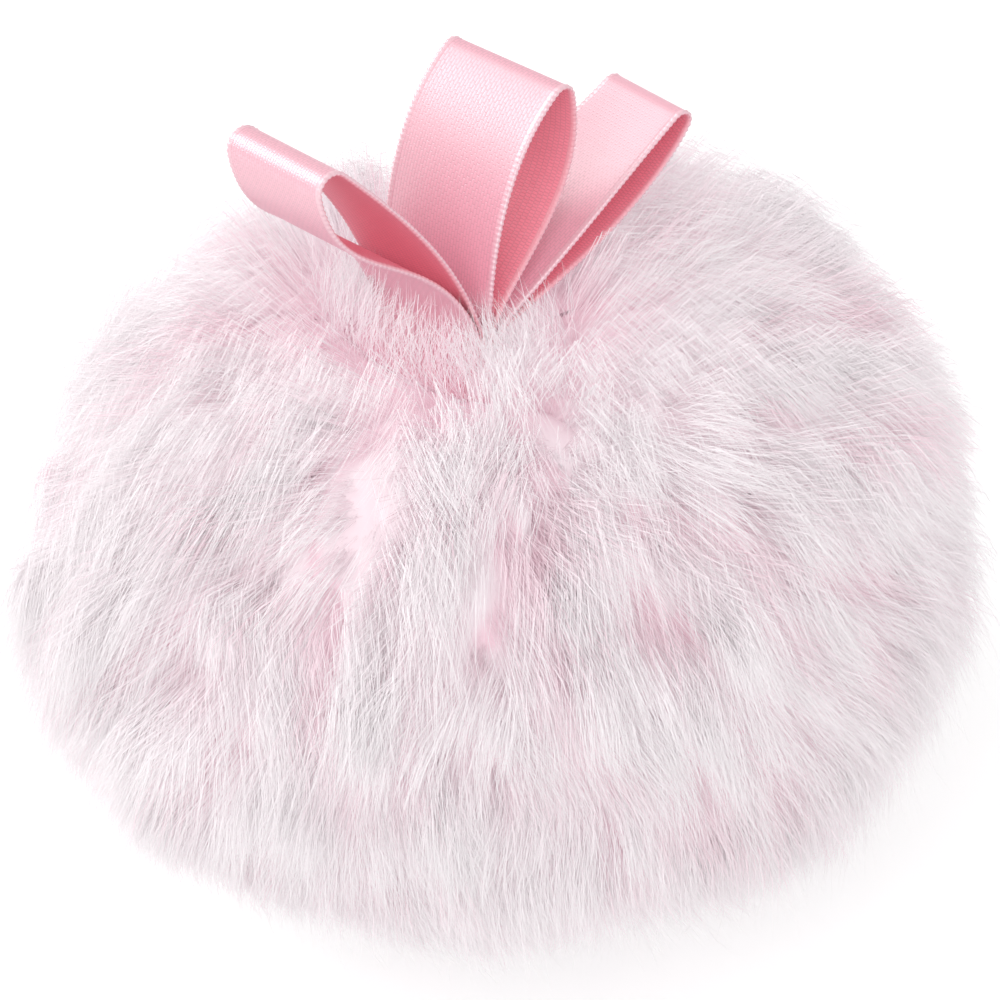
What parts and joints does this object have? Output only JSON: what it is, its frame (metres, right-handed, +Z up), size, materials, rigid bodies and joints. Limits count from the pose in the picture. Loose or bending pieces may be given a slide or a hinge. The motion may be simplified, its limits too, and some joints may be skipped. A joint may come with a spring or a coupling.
{
  "type": "powder puff",
  "caption": "Round powder puff of long, pale pink faux fur gathered at the top round a handle of folded satin ribbon loops.",
  "frame": {"origin": "middle of the flattened base, on the surface that the puff rests on", "axes": "+Z up out of the base; +X along the width of the ribbons where they leave the fur; the loops fan out along Y"},
  "size_m": [0.102, 0.102, 0.0931],
  "materials": {
    "fur": "long matt pile",
    "backing_cloth": "matt knit",
    "stuffing": "loose fibre",
    "thread": "matt",
    "ribbon": "satin"
  },
  "bodies": {
    "puff": {"fur_pile": "fur", "cover_cloth": "backing_cloth", "stuffing": "stuffing", "gathering_thread": "thread", "ribbon_binding": "thread", "left_tails": "ribbon", "middle_tails": "ribbon", "right_tails": "ribbon"},
    "left_loop": {"left_loop": "ribbon"},
    "middle_loop": {"middle_loop": "ribbon"},
    "right_loop": {"right_loop": "ribbon"}
  },
  "joints": [
    {"name": "left_loop_bend", "type": "hinge", "parent": "puff", "child": "left_loop", "pos_m": [-0.005, -0.0012, 0.06396], "axis": [1, 0, 0], "range_deg": [-4, 20], "stiffness_Nm_per_rad": 0.002},
    {"name": "middle_loop_bend", "type": "hinge", "parent": "puff", "child": "middle_loop", "pos_m": [-0.005, 0, 0.06396], "axis": [1, 0, 0], "range_deg": [-4, 4], "stiffness_Nm_per_rad": 0.002},
    {"name": "right_loop_bend", "type": "hinge", "parent": "puff", "child": "right_loop", "pos_m": [-0.005, 0.0012, 0.06396], "axis": [1, 0, 0], "range_deg": [-4, 5], "stiffness_Nm_per_rad": 0.002}
  ]
}
